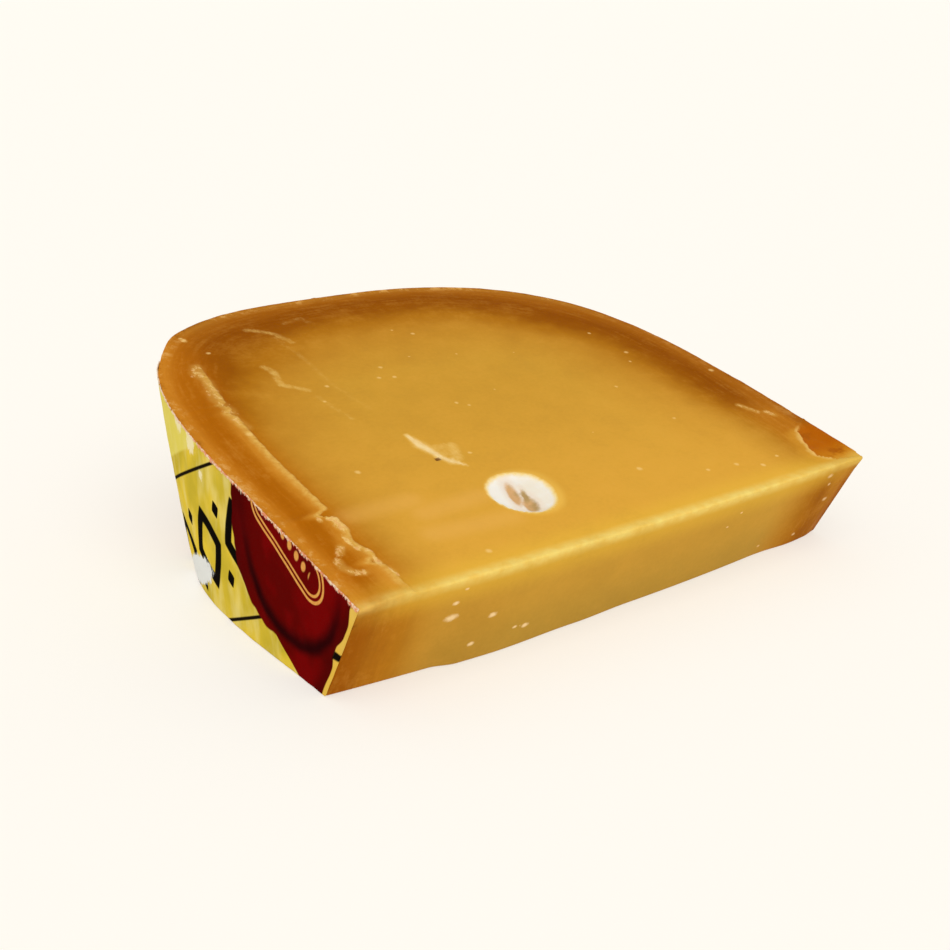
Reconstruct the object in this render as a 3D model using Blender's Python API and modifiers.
"""A retail wedge of aged Gouda-type cheese, with the printed label film of its wheel.

The frame: +X is the way through the wheel, from its labelled side to its plain side, +Y points out to
the rim, +Z is up. The origin is on the surface that the wedge lies on, under the middle of its box.

How the real thing comes about, and so how it is made here: a whole wheel is turned, one slab is sliced
from beside its centre with two cuts that nearly meet, and a third, slanting cut takes the thin end off.
The slab lies on one cut face. The label is a film round the wheel's flat side and shoulder, cut with it.
"""

import math

import bmesh
import bpy
from mathutils import Vector

# Driving dimensions, in metres.
WHEEL_RADIUS = 0.1694
WHEEL_THICKNESS = 0.105
LABEL_GAP = 0.0003
LABEL_THICKNESS = 0.0003
LABEL_RADIUS = 0.158
LABEL_LIFT = 0.0003

# The wheel's axis, as seen from the wedge: behind the front cut and above the lower cut.
AXIS_Y = -0.1213
AXIS_Z = 0.060

# Each flat side runs out to its own radius, and rounds over to the crown of the rim.
LABEL_SIDE_FLAT_RADIUS = 0.1181
PLAIN_SIDE_FLAT_RADIUS = 0.1132
CROWN_X = -0.0047
LABEL_SIDE_SQUARENESS = 3.34
PLAIN_SIDE_SQUARENESS = 2.75
RIM_SQUARENESS = 2.66

# The upper cut: its height over the origin, its climb to the rim and its fall to the plain side.
TOP_HEIGHT = 0.0266
TOP_CLIMB = 0.2046
TOP_FALL = 0.012

# The front cut: where it meets the upper and lower faces at each side, and how far each edge bows out.
FRONT_TOP_LABEL_Y = -0.0464
FRONT_TOP_PLAIN_Y = -0.0430
FRONT_BOTTOM_LABEL_Y = -0.0362
FRONT_BOTTOM_PLAIN_Y = -0.0332
FRONT_TOP_BOW = 0.0007
FRONT_BOTTOM_BOW = 0.0033

# The knife left a strip along the labelled side standing a little proud of the upper cut.
LEDGE_X = -0.0434
LEDGE_RISE = 0.0003

# The crusted eye in the upper face: a shallow dish.
EYE_X = -0.0122
EYE_Y = -0.0302
EYE_RADIUS = 0.0057
EYE_DEPTH = 0.0006

# How finely the round parts are divided.
TURN_STEPS = 180
SHOULDER_STEPS = 26
BOW_STEPS = 16
EYE_SEGMENTS = 32

# The knives reach this far past the cheese.
KNIFE_REACH = 0.04

LABEL_SIDE_X = -WHEEL_THICKNESS / 2 + LABEL_GAP + LABEL_THICKNESS
PLAIN_SIDE_X = WHEEL_THICKNESS / 2


def top_z(x, y):
    """Height of the upper cut."""
    return TOP_HEIGHT + TOP_CLIMB * y - TOP_FALL * x


def front_y(x, z):
    """Place of the front cut, which is ruled between its upper and its lower edge."""
    across = x / WHEEL_THICKNESS + 0.5
    bow = 4 * across * (1 - across)
    bottom = FRONT_BOTTOM_LABEL_Y + (FRONT_BOTTOM_PLAIN_Y - FRONT_BOTTOM_LABEL_Y) * across
    top = FRONT_TOP_LABEL_Y + (FRONT_TOP_PLAIN_Y - FRONT_TOP_LABEL_Y) * across
    bottom -= FRONT_BOTTOM_BOW * bow
    top -= FRONT_TOP_BOW * bow
    return bottom + (top - bottom) * z / top_z(x, top)


def shoulder(side_x, flat_radius, squareness):
    """Points from the rim of a flat side to the crown, as distance through the wheel and radius."""
    points = []
    for step in range(SHOULDER_STEPS + 1):
        turn = math.pi / 2 * step / SHOULDER_STEPS
        through = max(math.cos(turn), 0.0) ** (2 / squareness)
        out = math.sin(turn) ** (2 / RIM_SQUARENESS)
        points.append((CROWN_X + (side_x - CROWN_X) * through,
                       flat_radius + (WHEEL_RADIUS - flat_radius) * out))
    return points


def label_shoulder():
    return shoulder(LABEL_SIDE_X, LABEL_SIDE_FLAT_RADIUS, LABEL_SIDE_SQUARENESS)


def collection_named(name):
    collection = bpy.data.collections.new(name)
    bpy.context.scene.collection.children.link(collection)
    return collection


def finish_of(name, colour, roughness):
    material = bpy.data.materials.new(name)
    material.use_nodes = True
    shader = material.node_tree.nodes["Principled BSDF"]
    shader.inputs["Base Color"].default_value = (*colour, 1.0)
    shader.inputs["Roughness"].default_value = roughness
    shader.inputs["Metallic"].default_value = 0.0
    return material


def turned(name, collection, outline):
    """An object that turns an outline round the wheel's axis, which lies along X."""
    mesh = bpy.data.meshes.new(name)
    edges = [(index, index + 1) for index in range(len(outline) - 1)]
    # The outline stands at +X of the turning axis, and +Z of the outline becomes the labelled side.
    mesh.from_pydata([(radius, 0.0, -through) for through, radius in outline], edges, [])
    body = bpy.data.objects.new(name, mesh)
    collection.objects.link(body)
    body.location = (0.0, AXIS_Y, AXIS_Z)
    body.rotation_euler = (0.0, -math.pi / 2, 0.0)
    screw = body.modifiers.new("turn the outline", 'SCREW')
    screw.axis = 'Z'
    screw.angle = 2 * math.pi
    screw.steps = TURN_STEPS
    screw.render_steps = TURN_STEPS
    screw.use_merge_vertices = True
    screw.merge_threshold = 0.00001
    screw.use_smooth_shade = False
    return body


def cutter_from(name, collection, shape):
    """A cutting body from a bmesh, kept out of sight."""
    bmesh.ops.recalc_face_normals(shape, faces=shape.faces)
    mesh = bpy.data.meshes.new(name)
    shape.to_mesh(mesh)
    shape.free()
    body = bpy.data.objects.new(name, mesh)
    collection.objects.link(body)
    body.hide_render = True
    body.display_type = 'WIRE'
    return body


def slab_between_the_cuts(name, collection, floor):
    """The space between the lower, upper and front cuts, open to the rim and both sides.

    Its top is the proud strip's, and the ledge cutter takes the rest of the face down from it.
    """
    half_width = WHEEL_THICKNESS / 2 + KNIFE_REACH
    back = -AXIS_Y + WHEEL_RADIUS
    shape = bmesh.new()
    bmesh.ops.create_cube(shape, size=1.0)
    along = [edge for edge in shape.edges if abs(edge.verts[0].co.x - edge.verts[1].co.x) > 0.5]
    bmesh.ops.subdivide_edges(shape, edges=along, cuts=BOW_STEPS * 2 - 1, use_grid_fill=True)
    for corner in shape.verts:
        x = corner.co.x * 2 * half_width
        at_front = corner.co.y < 0
        at_top = corner.co.z > 0
        # Past the wheel's sides the front cut simply goes straight on.
        inside_x = max(-WHEEL_THICKNESS / 2, min(WHEEL_THICKNESS / 2, x))
        if at_top:
            y = front_y(inside_x, top_z(inside_x, -0.045)) if at_front else back
            corner.co = Vector((x, y, top_z(x, y) + LEDGE_RISE))
        else:
            y = front_y(inside_x, floor) if at_front else back
            corner.co = Vector((x, y, floor))
    return cutter_from(name, collection, shape)


def ledge_cutter(collection):
    """What the knife took off past the proud strip: everything over the upper cut."""
    shape = bmesh.new()
    bmesh.ops.create_cube(shape, size=1.0)
    outer = WHEEL_THICKNESS / 2 + KNIFE_REACH
    for corner in shape.verts:
        x = outer if corner.co.x > 0 else LEDGE_X
        y = WHEEL_RADIUS if corner.co.y > 0 else -WHEEL_RADIUS
        lift = KNIFE_REACH if corner.co.z > 0 else 0.0
        corner.co = Vector((x, y, top_z(x, y) + lift))
    return cutter_from("ledge cutter", collection, shape)


def eye_cutter(collection):
    """A flat ball whose lower half sinks the crusted eye."""
    shape = bmesh.new()
    bmesh.ops.create_uvsphere(shape, u_segments=EYE_SEGMENTS, v_segments=EYE_SEGMENTS // 2, radius=1.0)
    bmesh.ops.scale(shape, vec=(EYE_RADIUS, EYE_RADIUS, EYE_DEPTH), verts=shape.verts)
    for corner in shape.verts:
        x = EYE_X + corner.co.x
        y = EYE_Y + corner.co.y
        corner.co = Vector((x, y, top_z(x, y) + corner.co.z))
    return cutter_from("eye cutter", collection, shape)


def cut(body, cutter, operation):
    boolean = body.modifiers.new(cutter.name, 'BOOLEAN')
    boolean.operation = operation
    boolean.solver = 'EXACT'
    boolean.object = cutter


def make_cheese(parts, cutters):
    """The cheese: one piece, whose dry rind is only its own outer layer."""
    label_side = label_shoulder()
    plain_side = shoulder(PLAIN_SIDE_X, PLAIN_SIDE_FLAT_RADIUS, PLAIN_SIDE_SQUARENESS)
    outline = [(LABEL_SIDE_X, 0.0)] + label_side + plain_side[-2::-1] + [(PLAIN_SIDE_X, 0.0)]
    cheese = turned("cheese", parts, outline)
    cut(cheese, slab_between_the_cuts("slab for the cheese", cutters, 0.0), 'INTERSECT')
    cut(cheese, ledge_cutter(cutters), 'DIFFERENCE')
    cut(cheese, eye_cutter(cutters), 'DIFFERENCE')
    cheese.data.materials.append(finish_of("aged cheese", (0.56, 0.30, 0.04), 0.38))
    return cheese


def make_label(parts, cutters):
    """The label: a printed film over the flat side and the start of the shoulder."""
    inner = [(LABEL_SIDE_X, 0.05)] + [point for point in label_shoulder() if point[1] < LABEL_RADIUS]
    outline = []
    for index, (through, radius) in enumerate(inner):
        before = inner[max(index - 1, 0)]
        after = inner[min(index + 1, len(inner) - 1)]
        run = Vector((after[0] - before[0], after[1] - before[1])).normalized()
        outline.append((through - run.y * LABEL_GAP, radius + run.x * LABEL_GAP))
    label = turned("label", parts, outline)
    film = label.modifiers.new("film", 'SOLIDIFY')
    film.thickness = LABEL_THICKNESS
    film.offset = 1.0
    cut(label, slab_between_the_cuts("slab for the label", cutters, LABEL_LIFT), 'INTERSECT')
    label.data.materials.append(finish_of("printed film", (0.65, 0.45, 0.05), 0.3))
    return label


def main():
    for old in list(bpy.data.objects):
        bpy.data.objects.remove(old, do_unlink=True)
    parts = collection_named("cheese wedge")
    cutters = collection_named("cutters")
    make_cheese(parts, cutters)
    make_label(parts, cutters)


main()
